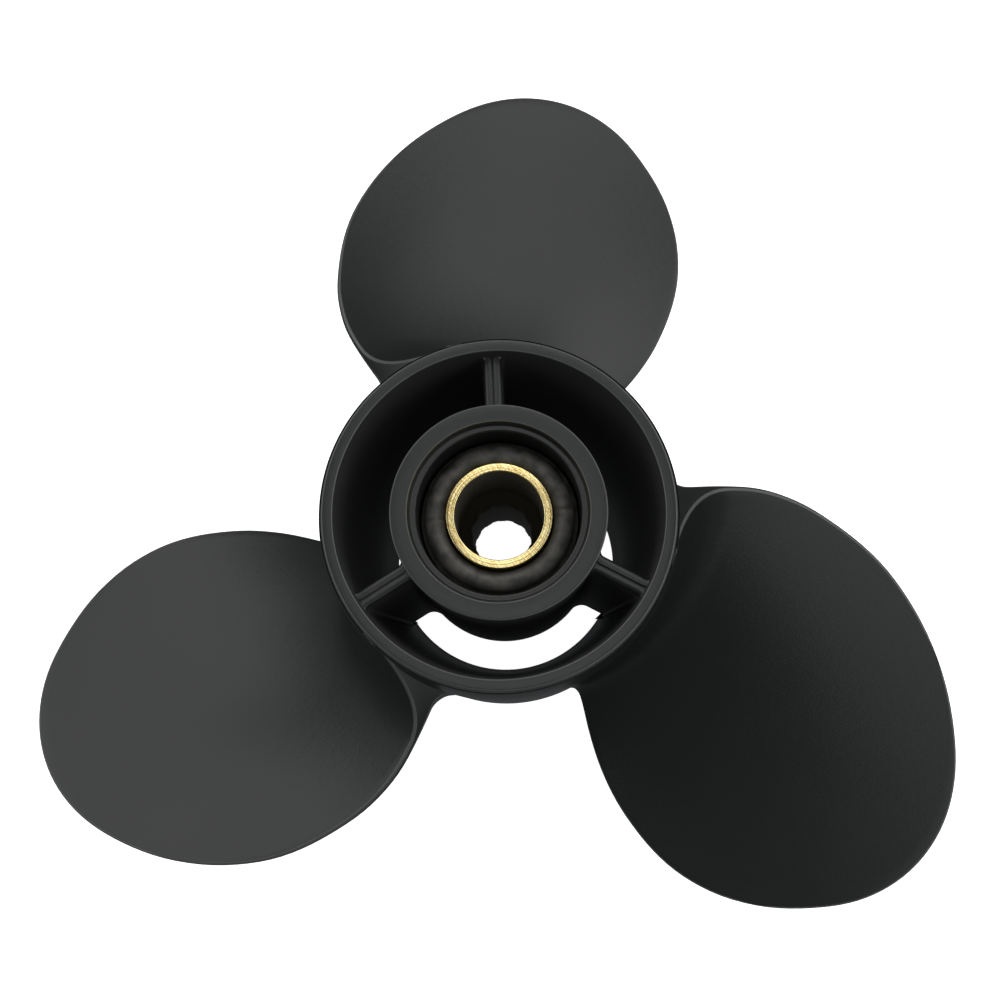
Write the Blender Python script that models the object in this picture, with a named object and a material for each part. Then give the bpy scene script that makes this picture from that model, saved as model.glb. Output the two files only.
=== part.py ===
"""Three-blade outboard propeller with its exhaust through the hub, in metres.

+Z runs aft along the shaft axis. The rim faces aft, the blades' pressure faces
look up, and the part stands on the flat forward end of its barrel.
"""

import math

import bmesh
import bpy
import numpy as np
from mathutils import Matrix, Vector

MM = 0.001

# Overall sizes
TIP_RADIUS = 117.5 * MM
PITCH = 203.2 * MM
BARREL_LENGTH = 78.0 * MM
CENTROID_FROM_RIM = 39.8 * MM

# Heights along the shaft axis, the origin at the centroid
RIM_Z = CENTROID_FROM_RIM
FORWARD_Z = RIM_Z - BARREL_LENGTH

# Fine values that several pieces share
CLEARANCE = 0.3 * MM
EDGE_CHAMFER = 0.3 * MM
FORWARD_CHAMFER = 0.8 * MM
MERGE_DISTANCE = 0.001 * MM

# Barrel
RIM_OUTER_RADIUS = 34.5 * MM
RIM_LIP_LENGTH = 1.2 * MM
SHOULDER_RADIUS = 34.95 * MM
SHOULDER_START = 1.8 * MM
SHOULDER_LENGTH = 8.0 * MM
BARREL_RADIUS = 36.0 * MM
RIM_INNER_RADIUS = 32.2 * MM
PASSAGE_FORWARD_RADIUS = 28.4 * MM
FORWARD_BORE_RADIUS = 31.8 * MM
FORWARD_BORE_DEPTH = 6.0 * MM
RIM_ROUNDING = 0.4 * MM
BARREL_SIDES = 72

# Inner hub
HUB_FACE_Z = RIM_Z
HUB_RADIUS = 21.2 * MM
HUB_MOUTH_RADIUS = 17.8 * MM
HUB_STEP_RADIUS = 17.2 * MM
HUB_BORE_RADIUS = 16.2 * MM
HUB_MOUTH_DEPTH = 2.2 * MM
HUB_LENGTH = 62.0 * MM
HUB_ROUNDING = 0.5 * MM
HUB_SIDES = 56

# Ribs between the inner hub and the barrel
RIB_ANGLES_DEG = (93.7, 213.7, 333.7)
RIB_AFT_THICKNESS = 3.6 * MM
RIB_FORWARD_THICKNESS = 4.6 * MM
RIB_RECESS = 3.4 * MM
RIB_FORWARD_Z = HUB_FACE_Z - 60.5 * MM
RIB_FILLET = 2.6 * MM
RIB_OVERLAP = 2.0 * MM
RIB_FILLET_STEPS = 3

# Rubber bushing
BUSH_OUTER_RADIUS = HUB_BORE_RADIUS - CLEARANCE
BUSH_CROWN_RADIUS = 14.6 * MM
BUSH_SHOULDER_Z = HUB_FACE_Z - 12.0 * MM
BUSH_AFT_Z = HUB_FACE_Z - 6.6 * MM
BUSH_FORWARD_Z = HUB_FACE_Z - 58.0 * MM
BUSH_CROWN_STEPS = 8
BUSH_SIDES = 48

# Brass sleeve
SLEEVE_OUTER_RADIUS = 10.6 * MM
SLEEVE_BORE_RADIUS = 8.9 * MM
SPLINE_RADIUS = 6.9 * MM
SPLINE_ROOT_RADIUS = 7.6 * MM
SPLINE_COUNT = 12
SPLINE_LEAD_IN = 1.5 * MM
SLEEVE_AFT_Z = HUB_FACE_Z - 5.4 * MM
SPLINE_AFT_Z = HUB_FACE_Z - 30.0 * MM
SPLINE_FORWARD_Z = HUB_FACE_Z - 54.0 * MM
SLEEVE_FORWARD_Z = HUB_FACE_Z - 63.0 * MM
SLEEVE_MOUTH_RADIUS = 9.6 * MM
SLEEVE_SIDES = 48

# Blades: reference lines, pitch surface, and stations of radius, thickness, middle and half angle in degrees
BLADE_ANGLES_DEG = (89.0, 209.0, 329.0)
PITCH_RADIUS = 75.0 * MM
PITCH_FALL = 1.02
BLADE_MIDDLE_Z = RIM_Z - 40.4 * MM
BLADE_RAKE = -0.12
RAKE_START_RADIUS = 40.0 * MM
BLADE_CAMBER = 3.0 * MM
BLADE_STATIONS = (
    (36.0 * MM, 8.0 * MM, 5.7, 35.4),
    (40.0 * MM, 7.2 * MM, 5.1, 35.9),
    (46.0 * MM, 6.3 * MM, 4.0, 36.6),
    (54.0 * MM, 5.5 * MM, 2.8, 36.7),
    (62.0 * MM, 4.9 * MM, 1.5, 35.5),
    (72.0 * MM, 4.3 * MM, -0.1, 32.7),
    (82.0 * MM, 3.8 * MM, -1.4, 29.2),
    (92.0 * MM, 3.3 * MM, -2.5, 24.4),
    (100.0 * MM, 3.0 * MM, -3.1, 19.6),
    (108.0 * MM, 2.7 * MM, -3.5, 13.7),
    (114.0 * MM, 2.4 * MM, -3.8, 8.2),
    (TIP_RADIUS, 2.2 * MM, -3.9, 1.4),
)
EDGE_THICKNESS = 1.4 * MM
SECTION_FULLNESS = 0.6
LEADING_FILLET = 3.0 * MM
TRAILING_FILLET_WIDTH = 14.0 * MM
TRAILING_FILLET_HEIGHT = 20.0 * MM
TRAILING_SINK = 1.0 * MM
SINK_POWER = 4
SUCTION_FILLET = 7.0 * MM
SUCTION_EDGE_FILLET = 3.5 * MM
FILLET_TOP_Z = RIM_Z - 1.6 * MM
ROOT_DEPTH = 2.2 * MM
ROOT_STEPS = 7
STATION_SPACING = 2.0 * MM
CHORD_STEPS = 14

CAST_BLACK = (0.012, 0.013, 0.013, 1.0)
RUBBER_BLACK = (0.010, 0.010, 0.010, 1.0)
BRASS_GOLD = (0.52, 0.38, 0.17, 1.0)


def clear_scene():
    """Removes the objects that the scene starts with."""
    for item in list(bpy.data.objects):
        bpy.data.objects.remove(item, do_unlink=True)


def material(name, colour, roughness, metallic):
    """Returns a Principled material with one even look."""
    made = bpy.data.materials.new(name)
    made.use_nodes = True
    shader = made.node_tree.nodes["Principled BSDF"]
    shader.inputs["Base Color"].default_value = colour
    shader.inputs["Roughness"].default_value = roughness
    shader.inputs["Metallic"].default_value = metallic
    return made


def add_object(name, mesh_data, finish):
    """Turns a bmesh into a linked object with its finish."""
    mesh = bpy.data.meshes.new(name)
    mesh_data.to_mesh(mesh)
    mesh_data.free()
    mesh.materials.append(finish)
    made = bpy.data.objects.new(name, mesh)
    bpy.context.scene.collection.objects.link(made)
    return made


def turned(name, profile, sides, finish):
    """Spins a closed profile of (radius, height) points right round the shaft axis."""
    shape = bmesh.new()
    ring = [shape.verts.new((radius, 0.0, height)) for radius, height in profile]
    edges = [shape.edges.new((ring[i], ring[(i + 1) % len(ring)])) for i in range(len(ring))]
    bmesh.ops.spin(
        shape,
        geom=ring + edges,
        cent=(0.0, 0.0, 0.0),
        axis=(0.0, 0.0, 1.0),
        dvec=(0.0, 0.0, 0.0),
        angle=math.tau,
        steps=sides,
        use_merge=True,
        use_duplicate=False,
    )
    bmesh.ops.recalc_face_normals(shape, faces=shape.faces)
    return add_object(name, shape, finish)


def rounded(corner_radius, corner_height, rounding, start_deg, steps=3):
    """Points of a quarter round about a centre, counter-clockwise from start_deg."""
    points = []
    for step in range(steps + 1):
        angle = math.radians(start_deg + 90.0 * step / steps)
        across = rounding * math.cos(angle)
        points.append((corner_radius + across, corner_height + rounding * math.sin(angle)))
    return points


def barrel_profile():
    """Barrel wall: stepped rim, straight outside, forward ring and drafted passage."""
    passage_end = FORWARD_Z + FORWARD_BORE_DEPTH
    outer = rounded(RIM_OUTER_RADIUS - RIM_ROUNDING, RIM_Z - RIM_ROUNDING, RIM_ROUNDING, 0.0)
    outer.reverse()
    return outer + [
        (RIM_OUTER_RADIUS, RIM_Z - RIM_LIP_LENGTH),
        (SHOULDER_RADIUS, RIM_Z - SHOULDER_START),
        (BARREL_RADIUS, RIM_Z - SHOULDER_LENGTH),
        (BARREL_RADIUS, FORWARD_Z + FORWARD_CHAMFER),
        (BARREL_RADIUS - FORWARD_CHAMFER, FORWARD_Z),
        (FORWARD_BORE_RADIUS, FORWARD_Z),
        (FORWARD_BORE_RADIUS, passage_end),
        (PASSAGE_FORWARD_RADIUS, passage_end),
        (RIM_INNER_RADIUS, RIM_Z - EDGE_CHAMFER),
        (RIM_INNER_RADIUS + EDGE_CHAMFER, RIM_Z),
    ]


def hub_profile():
    """Inner hub: a tube with a shallow step in its aft mouth."""
    forward = HUB_FACE_Z - HUB_LENGTH
    outer = rounded(HUB_RADIUS - HUB_ROUNDING, HUB_FACE_Z - HUB_ROUNDING, HUB_ROUNDING, 0.0)
    outer.reverse()
    return outer + [
        (HUB_RADIUS, forward + FORWARD_CHAMFER),
        (HUB_RADIUS - FORWARD_CHAMFER, forward),
        (HUB_BORE_RADIUS, forward),
        (HUB_BORE_RADIUS, HUB_FACE_Z - HUB_MOUTH_DEPTH),
        (HUB_STEP_RADIUS, HUB_FACE_Z - HUB_MOUTH_DEPTH),
        (HUB_MOUTH_RADIUS, HUB_FACE_Z - EDGE_CHAMFER),
        (HUB_MOUTH_RADIUS + EDGE_CHAMFER, HUB_FACE_Z),
    ]


def bush_profile():
    """Rubber bushing: a tube whose aft end swells into a half ring above a sloping shoulder."""
    inner = SLEEVE_OUTER_RADIUS + CLEARANCE
    middle = (inner + BUSH_CROWN_RADIUS) / 2
    half = (BUSH_CROWN_RADIUS - inner) / 2
    crown = []
    for step in range(BUSH_CROWN_STEPS + 1):
        angle = math.pi * step / BUSH_CROWN_STEPS
        crown.append((middle - half * math.cos(angle), BUSH_AFT_Z - half + half * math.sin(angle)))
    return crown + [
        (BUSH_OUTER_RADIUS, BUSH_SHOULDER_Z),
        (BUSH_OUTER_RADIUS, BUSH_FORWARD_Z),
        (inner, BUSH_FORWARD_Z),
    ]


def sleeve_profile():
    """Brass sleeve: plain aft bore, narrower splined stretch and a coned forward mouth."""
    return [
        (SLEEVE_OUTER_RADIUS - EDGE_CHAMFER, SLEEVE_AFT_Z),
        (SLEEVE_OUTER_RADIUS, SLEEVE_AFT_Z - EDGE_CHAMFER),
        (SLEEVE_OUTER_RADIUS, SLEEVE_FORWARD_Z),
        (SLEEVE_MOUTH_RADIUS, SLEEVE_FORWARD_Z),
        (SPLINE_RADIUS, SPLINE_FORWARD_Z),
        (SPLINE_RADIUS, SPLINE_AFT_Z),
        (SLEEVE_BORE_RADIUS, SPLINE_AFT_Z + SPLINE_LEAD_IN),
        (SLEEVE_BORE_RADIUS, SLEEVE_AFT_Z - EDGE_CHAMFER),
        (SLEEVE_BORE_RADIUS + EDGE_CHAMFER, SLEEVE_AFT_Z),
    ]


def fillet_reach(distance, radius):
    """How far a fillet stands out from the wall it runs up, at a distance from the wall it starts on."""
    left = min(max(radius - distance, 0.0), radius)
    return radius - math.sqrt(radius * radius - left * left)


def passage_radius(height):
    """Inner radius of the barrel's drafted passage at a height."""
    share = (RIM_Z - height) / (BARREL_LENGTH - FORWARD_BORE_DEPTH)
    return RIM_INNER_RADIUS + (PASSAGE_FORWARD_RADIUS - RIM_INNER_RADIUS) * share


def rib_outline(height, thickness):
    """Radii along a rib with its half thickness at each, fillets at both ends included."""
    wall = passage_radius(height)
    outline = [(HUB_RADIUS - RIB_OVERLAP, thickness / 2 + RIB_FILLET)]
    steps = [RIB_FILLET * (step / RIB_FILLET_STEPS) ** 2 for step in range(RIB_FILLET_STEPS + 1)]
    for distance in steps:
        outline.append((HUB_RADIUS + distance, thickness / 2 + fillet_reach(distance, RIB_FILLET)))
    for distance in reversed(steps):
        outline.append((wall - distance, thickness / 2 + fillet_reach(distance, RIB_FILLET)))
    outline.append((wall + RIB_OVERLAP, thickness / 2 + RIB_FILLET))
    return outline


def rib(name, angle_deg, finish):
    """Radial rib with draft: thicker at its forward end than at its aft edge."""
    aft = rib_outline(RIM_Z - RIB_RECESS, RIB_AFT_THICKNESS)
    forward = rib_outline(RIB_FORWARD_Z, RIB_FORWARD_THICKNESS)
    shape = bmesh.new()
    bmesh.ops.create_grid(shape, x_segments=len(aft) - 1, y_segments=1, size=0.5)
    top = list(shape.verts)
    bottom = bmesh.ops.extrude_face_region(shape, geom=list(shape.faces), use_keep_orig=True)["geom"]
    bottom = [item for item in bottom if isinstance(item, bmesh.types.BMVert)]
    for verts, outline, height in ((top, aft, RIM_Z - RIB_RECESS), (bottom, forward, RIB_FORWARD_Z)):
        for vert in verts:
            radius, half = outline[round((vert.co.x + 0.5) * (len(outline) - 1))]
            across = math.copysign(half, vert.co.y)
            vert.co = (math.sqrt(radius * radius - half * half), across, height)
    bmesh.ops.recalc_face_normals(shape, faces=shape.faces)
    bmesh.ops.rotate(shape, verts=shape.verts, cent=(0.0, 0.0, 0.0), matrix=turn_matrix(angle_deg))
    return add_object(name, shape, finish)


def turn_matrix(angle_deg):
    """Rotation about the shaft axis."""
    return Matrix.Rotation(math.radians(angle_deg), 3, "Z")


def station(radius):
    """Thickness, middle angle and half angle at a radius; squared half angles keep the tip round."""
    radii, thicknesses, middles, halves = (np.array(column) for column in zip(*BLADE_STATIONS))
    half = math.sqrt(np.interp(radius, radii, halves * halves))
    middle = np.interp(radius, radii, middles)
    return float(np.interp(radius, radii, thicknesses)), math.radians(middle), math.radians(half)


def surface_point(radius, angle, outward):
    """Point at a distance square to the pitch surface, which rises aft with the angle."""
    rise = (PITCH - PITCH_FALL * (radius - PITCH_RADIUS)) / math.tau
    slope = (rise + 2 * BLADE_CAMBER * angle) / radius
    length = math.hypot(1.0, slope)
    height = BLADE_MIDDLE_Z + BLADE_RAKE * (radius - RAKE_START_RADIUS)
    height += rise * angle + BLADE_CAMBER * angle * angle
    height += outward / length
    moved = angle - slope * outward / (length * radius)
    return Vector((radius * math.cos(moved), radius * math.sin(moved), height))


def pressure_flare(radius, across):
    """Reach of the pressure side's root fillet, which grows from the leading to the trailing edge."""
    base = BARREL_RADIUS - TRAILING_SINK * across ** SINK_POWER
    width = LEADING_FILLET + (TRAILING_FILLET_WIDTH - LEADING_FILLET) * across
    height = LEADING_FILLET + (TRAILING_FILLET_HEIGHT - LEADING_FILLET) * across
    return fillet_reach(radius - base, width) * height / width


def suction_flare(radius, bulge):
    """Reach of the suction side's root fillet, which is smallest at both edges."""
    fillet = SUCTION_EDGE_FILLET + (SUCTION_FILLET - SUCTION_EDGE_FILLET) * bulge
    return fillet_reach(radius - BARREL_RADIUS, fillet)


def blade_section(radius):
    """Closed loop at one radius: pressure face, trailing nose, suction face, leading nose."""
    thickness, middle, half = station(radius)
    nose = EDGE_THICKNESS / 2
    inset = min(nose, half * radius / 2)
    pressure = []
    suction = []
    for step in range(CHORD_STEPS + 1):
        share = -math.cos(math.pi * step / CHORD_STEPS)
        angle = middle + (half - inset / radius) * share
        bulge = max(1.0 - share * share, 0.0) ** SECTION_FULLNESS
        depth = EDGE_THICKNESS + (thickness - EDGE_THICKNESS) * bulge
        upper = surface_point(radius, angle, pressure_flare(radius, (1.0 + share) / 2))
        upper.z = min(upper.z, FILLET_TOP_Z)
        pressure.append(upper)
        suction.append(surface_point(radius, angle, -depth - suction_flare(radius, bulge)))
    trailing = surface_point(radius, middle + half, -nose)
    leading = surface_point(radius, middle - half, -nose)
    return pressure + [trailing] + suction[::-1] + [leading]


def blade_radii():
    """Radii of the blade's sections: close together up the root fillet, then at the stations."""
    foot = BARREL_RADIUS - TRAILING_SINK
    root = [BARREL_RADIUS - ROOT_DEPTH]
    for step in range(ROOT_STEPS + 1):
        root.append(foot + TRAILING_FILLET_WIDTH * (step / ROOT_STEPS) ** 2)
    return root + [row[0] for row in BLADE_STATIONS if row[0] > root[-1] + STATION_SPACING]


def blade(name, angle_deg, finish):
    """Wraps a grid round the blade's sections and closes it at the root and at the tip."""
    sections = [blade_section(radius) for radius in blade_radii()]
    around = len(sections[0])
    shape = bmesh.new()
    bmesh.ops.create_grid(shape, x_segments=around, y_segments=len(sections) - 1, size=0.5)
    for vert in shape.verts:
        place = round((vert.co.x + 0.5) * around) % around
        row = round((vert.co.y + 0.5) * (len(sections) - 1))
        vert.co = sections[row][place]
    bmesh.ops.remove_doubles(shape, verts=shape.verts, dist=MERGE_DISTANCE)
    bmesh.ops.holes_fill(shape, edges=shape.edges, sides=around)
    bmesh.ops.triangulate(shape, faces=[face for face in shape.faces if len(face.verts) > 4])
    bmesh.ops.recalc_face_normals(shape, faces=shape.faces)
    bmesh.ops.rotate(shape, verts=shape.verts, cent=(0.0, 0.0, 0.0), matrix=turn_matrix(angle_deg))
    return add_object(name, shape, finish)


def join_into(target, piece):
    """Adds an exact union of another shape to the target and hides the shape."""
    union = target.modifiers.new("join_" + piece.name, "BOOLEAN")
    union.operation = "UNION"
    union.solver = "EXACT"
    union.object = piece
    piece.hide_render = True
    piece.display_type = "WIRE"


def shade_round(item, angle_deg):
    """Smooth shading with creases kept sharp."""
    item.data.shade_smooth()
    item.data.set_sharp_from_angle(angle=math.radians(angle_deg))


def build_casting():
    """One aluminium casting: barrel, inner hub, ribs and blades."""
    finish = material("satin_black_paint", CAST_BLACK, 0.45, 0.0)
    casting = turned("propeller_casting", barrel_profile(), BARREL_SIDES, finish)
    hub = turned("inner_hub_form", hub_profile(), HUB_SIDES, finish)
    pieces = [hub]
    for index, angle in enumerate(RIB_ANGLES_DEG):
        pieces.append(rib(f"rib_form_{index + 1}", angle, finish))
    for index, angle in enumerate(BLADE_ANGLES_DEG):
        pieces.append(blade(f"blade_form_{index + 1}", angle, finish))
    for piece in pieces:
        join_into(casting, piece)
    shade_round(casting, 35.0)
    return casting


def build_bushing():
    """Rubber bushing pressed into the inner hub."""
    finish = material("black_rubber", RUBBER_BLACK, 0.65, 0.0)
    bushing = turned("rubber_bushing", bush_profile(), BUSH_SIDES, finish)
    shade_round(bushing, 35.0)
    return bushing


def cut_splines(sleeve):
    """Moves every second group of points on the splined bore out to the spline's root."""
    group = SLEEVE_SIDES // (2 * SPLINE_COUNT)
    for vert in sleeve.data.vertices:
        radius = math.hypot(vert.co.x, vert.co.y)
        place = round(math.atan2(vert.co.y, vert.co.x) / math.tau * SLEEVE_SIDES)
        on_spline = abs(radius - SPLINE_RADIUS) < MERGE_DISTANCE
        if on_spline and place // group % 2 == 1:
            vert.co.x *= SPLINE_ROOT_RADIUS / radius
            vert.co.y *= SPLINE_ROOT_RADIUS / radius


def build_sleeve():
    """Brass sleeve bonded inside the rubber."""
    finish = material("turned_brass", BRASS_GOLD, 0.35, 1.0)
    sleeve = turned("brass_sleeve", sleeve_profile(), SLEEVE_SIDES, finish)
    cut_splines(sleeve)
    shade_round(sleeve, 35.0)
    return sleeve


def main():
    """Builds the propeller's three pieces."""
    clear_scene()
    build_casting()
    build_bushing()
    build_sleeve()


main()
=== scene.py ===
"""Looks of a three-blade outboard boat propeller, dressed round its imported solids.

The casting is built again with fine root fillets, rounded edges and cast grain, the rubber
bushing with its moulded crown, and the brass sleeve with its turned face and splined bore.
All lengths are in metres, with +Z aft along the shaft axis and +Y up the photographed view.
"""

import logging
import math
from dataclasses import dataclass, field
from enum import Enum

import bmesh
import bpy
import numpy as np
from bmesh.types import BMEdge, BMesh, BMFace, BMVert
from bpy.types import ID, Material, Node, NodeSocket, NodeTree, Object
from mathutils import Matrix, Vector


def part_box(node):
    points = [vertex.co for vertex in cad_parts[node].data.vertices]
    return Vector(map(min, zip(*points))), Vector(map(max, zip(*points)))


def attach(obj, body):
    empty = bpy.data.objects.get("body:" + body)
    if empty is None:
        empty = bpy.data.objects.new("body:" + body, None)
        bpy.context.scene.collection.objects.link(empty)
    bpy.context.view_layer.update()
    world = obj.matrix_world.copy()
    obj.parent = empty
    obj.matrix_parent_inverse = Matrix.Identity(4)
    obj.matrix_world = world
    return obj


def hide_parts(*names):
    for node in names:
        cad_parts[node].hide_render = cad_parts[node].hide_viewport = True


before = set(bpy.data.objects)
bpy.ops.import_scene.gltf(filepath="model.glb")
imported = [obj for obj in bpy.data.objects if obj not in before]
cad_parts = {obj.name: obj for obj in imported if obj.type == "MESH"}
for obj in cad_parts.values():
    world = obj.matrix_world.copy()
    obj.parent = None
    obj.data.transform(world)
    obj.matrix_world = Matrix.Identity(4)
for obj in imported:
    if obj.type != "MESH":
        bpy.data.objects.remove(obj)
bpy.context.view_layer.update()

LOG = logging.getLogger("propeller")

MM = 0.001
BODY = "root"
CASTING_NODE = "propeller_casting"
BUSHING_NODE = "rubber_bushing"
SLEEVE_NODE = "brass_sleeve"

# Heights along the shaft axis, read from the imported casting
RIM_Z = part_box(CASTING_NODE)[1].z
FORWARD_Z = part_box(CASTING_NODE)[0].z

# Distances shorter than this count as nothing
TOLERANCE = 0.001 * MM
# Faces that meet at more than this angle keep a sharp edge
CREASE_DEG = 38.0
# Faces across each round of a turned profile
ROUND_STEPS = 5
# The unit slab's edges lie this far either side of its middle
SLAB_EDGE = 0.5
# Phase, in radians, of Blender's wave pattern over one unit of its scaled place
WAVE_PHASE = 20.0


class Edge(Enum):
    """The two long edges of a blade, as the side of its middle line they lie on."""

    LEADING = -1
    TRAILING = 1


class Face(Enum):
    """The two faces of a blade, as the side of its pitch surface they lie on."""

    PRESSURE = 1
    SUCTION = -1


class Coat(Enum):
    """The casting's paints, as the places of their material slots, the second being a painted highlight on
    the edge rounds.
    """

    SATIN = 0
    RUBBED = 1
    PASSAGE = 2


def linear(colour: str) -> tuple[float, float, float, float]:
    """Turns an sRGB hex colour into linear values.

    Args:
        colour: Six hex digits, such as "2a2b2b".

    Returns:
        Red, green, blue and an alpha of 1.
    """
    channels = [int(colour[place:place + 2], 16) / 255 for place in (0, 2, 4)]
    # The sRGB standard's own curve
    values = [c / 12.92 if c <= 0.04045 else ((c + 0.055) / 1.055) ** 2.4 for c in channels]
    return (values[0], values[1], values[2], 1.0)


def from_shaft(point: Vector) -> float:
    """Distance of a point from the shaft axis."""
    return math.hypot(point.x, point.y)


def grains(place: NodeSocket, size: float, layers: float) -> dict:
    """Works out the inputs of a noise pattern from its real size.

    Args:
        place: The socket that gives the place on the piece.
        size: Size of a grain or patch.
        layers: Number of finer layers in its outline.

    Returns:
        The inputs by name.
    """
    return {"Vector": place, "Scale": 1.0 / size, "Detail": layers}


def set_inputs(tree: NodeTree, node: Node, inputs: dict) -> None:
    """Sets or links a node's inputs.

    Args:
        tree: The node tree that holds the node.
        node: The node.
        inputs: A value, or the socket to link from, for each input by name or number.
    """
    for name, value in inputs.items():
        if isinstance(value, NodeSocket):
            tree.links.new(value, node.inputs[name])
        else:
            node.inputs[name].default_value = value


def add_node(tree: NodeTree, kind: str, inputs: dict | None = None, **settings: object) -> Node:
    """Adds one shader node with its settings, values and links.

    Args:
        tree: The node tree that takes the node.
        kind: The node's type name.
        inputs: A value, or the socket to link from, for each input by name or number.
        **settings: The node's own properties.

    Returns:
        The new node.
    """
    node = tree.nodes.new(kind)
    for name, value in settings.items():
        setattr(node, name, value)
    set_inputs(tree, node, inputs or {})
    return node


def new_material(name: str) -> tuple[Material, NodeTree, Node, NodeSocket]:
    """Makes a node material.

    Args:
        name: The material's name.

    Returns:
        The material, its node tree, its Principled shader and the socket of its Object coordinates.
    """
    made = bpy.data.materials.new(name)
    made.use_nodes = True
    tree = made.node_tree
    place = add_node(tree, "ShaderNodeTexCoord").outputs["Object"]
    return made, tree, tree.nodes["Principled BSDF"], place


@dataclass(frozen=True)
class PatchyFinish:
    """A finish whose colour runs between two in soft patches, on a grained or smooth surface.

    The patches' span holds the pattern's values at which the colour is wholly the first and
    wholly the second. The shine is the shader's specular level, where 0.5 is usual.
    """

    name: str
    colour: str
    patch_colour: str
    roughness: float
    patch: float
    patch_layers: float = 3.0
    patch_span: tuple[float, float] = (0.0, 1.0)
    rough_patch: float | None = None
    shine: float = 0.5
    glow: float = 0.0
    grain_sizes: tuple[float, ...] = ()
    grain_layers: float = 2.0
    relief: float = 0.0
    bump: float = 0.5

    def make(self) -> Material:
        """Builds the material.

        Returns:
            The finished material.
        """
        made, tree, shader, place = new_material(self.name)
        patches = add_node(tree, "ShaderNodeTexNoise", grains(place, self.patch, self.patch_layers))
        start, full = self.patch_span
        spread = {"Value": patches.outputs["Fac"], "From Min": start, "From Max": full}
        share = add_node(tree, "ShaderNodeMapRange", spread).outputs["Result"]
        mixed = {"Factor": share, "A": linear(self.colour), "B": linear(self.patch_colour)}
        surface = {
            "Base Color": add_node(tree, "ShaderNodeMix", mixed, data_type="RGBA").outputs["Result"],
            "Roughness": self.roughness,
            "Specular IOR Level": self.shine,
            "Emission Strength": self.glow,
        }
        if self.rough_patch is not None:
            gloss = {"Value": share, "To Min": self.roughness, "To Max": self.rough_patch}
            surface["Roughness"] = add_node(tree, "ShaderNodeMapRange", gloss).outputs["Result"]
        if self.grain_sizes:
            surface["Normal"] = self.grain_normal(tree, place)
        set_inputs(tree, shader, surface)
        return made

    def grain_normal(self, tree: NodeTree, place: NodeSocket) -> NodeSocket:
        """Adds the grains' relief.

        Args:
            tree: The node tree that takes the nodes.
            place: The socket that gives the place on the piece.

        Returns:
            The socket that gives the surface's direction.
        """
        noises = [
            add_node(tree, "ShaderNodeTexNoise", grains(place, size, self.grain_layers)).outputs["Fac"]
            for size in self.grain_sizes
        ]
        height = noises[0]
        for noise in noises[1:]:
            height = add_node(
                tree, "ShaderNodeMath", {0: height, 1: noise}, operation="ADD"
            ).outputs["Value"]
        raised = {"Height": height, "Strength": self.bump, "Distance": self.relief}
        return add_node(tree, "ShaderNodeBump", raised).outputs["Normal"]


@dataclass(frozen=True)
class SatinPaint(PatchyFinish):
    """Black satin paint sprayed on cast aluminium.

    It gives the eye a soft charcoal surface whose sheen is broken by the fine grain of the
    casting under it, with slow patches where the paint went on thicker.
    """

    name: str = "satin_black_paint_on_cast_aluminium"
    colour: str = "161817"
    patch_colour: str = "1b1d1c"
    roughness: float = 0.32
    rough_patch: float | None = 0.4
    patch: float = 22.0 * MM
    grain_sizes: tuple[float, ...] = (0.45 * MM, 1.6 * MM)
    relief: float = 0.05 * MM


@dataclass(frozen=True)
class PassagePaint(PatchyFinish):
    """Thin matt black paint in the exhaust passages, where the spray hardly reached.

    It gives the eye passages that stay almost black beside the satin rim and ribs.
    """

    name: str = "matt_paint_in_the_passages"
    colour: str = "2b2c2b"
    patch_colour: str = "353635"
    roughness: float = 0.62
    shine: float = 0.3
    patch: float = 9.0 * MM
    grain_sizes: tuple[float, ...] = (1.2 * MM,)
    relief: float = 0.08 * MM


@dataclass(frozen=True)
class BoreShadePaint(PatchyFinish):
    """Painted shade: a near-black coat laid over the brass inside the bore.

    It gives the eye a near-black bore in which a little brown metal still shows.
    """

    name: str = "painted_shade_in_the_bore"
    colour: str = "464540"
    patch_colour: str = "5a523f"
    roughness: float = 0.6
    shine: float = 0.35
    patch: float = 1.8 * MM
    patch_layers: float = 4.0


@dataclass(frozen=True)
class MouldedRubber(PatchyFinish):
    """Black nitrile rubber, moulded.

    It gives the eye a matt, slightly dusty black with a faint bloom and a dull grain.
    """

    name: str = "moulded_black_rubber"
    colour: str = "2b2b29"
    patch_colour: str = "5f5d58"
    roughness: float = 0.6
    patch: float = 3.0 * MM
    patch_layers: float = 4.0
    patch_span: tuple[float, float] = (0.3, 0.7)
    grain_sizes: tuple[float, ...] = (0.8 * MM,)
    grain_layers: float = 3.0
    relief: float = 0.09 * MM


@dataclass(frozen=True)
class WhiteTable(PatchyFinish):
    """White acrylic light table.

    It gives the eye an even, near-white ground on which only a faint shadow shows.
    """

    name: str = "white_acrylic_table"
    colour: str = "f4f4f4"
    patch_colour: str = "ffffff"
    roughness: float = 0.6
    glow: float = 1.0
    patch: float = 300.0 * MM
    patch_layers: float = 2.0


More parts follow.
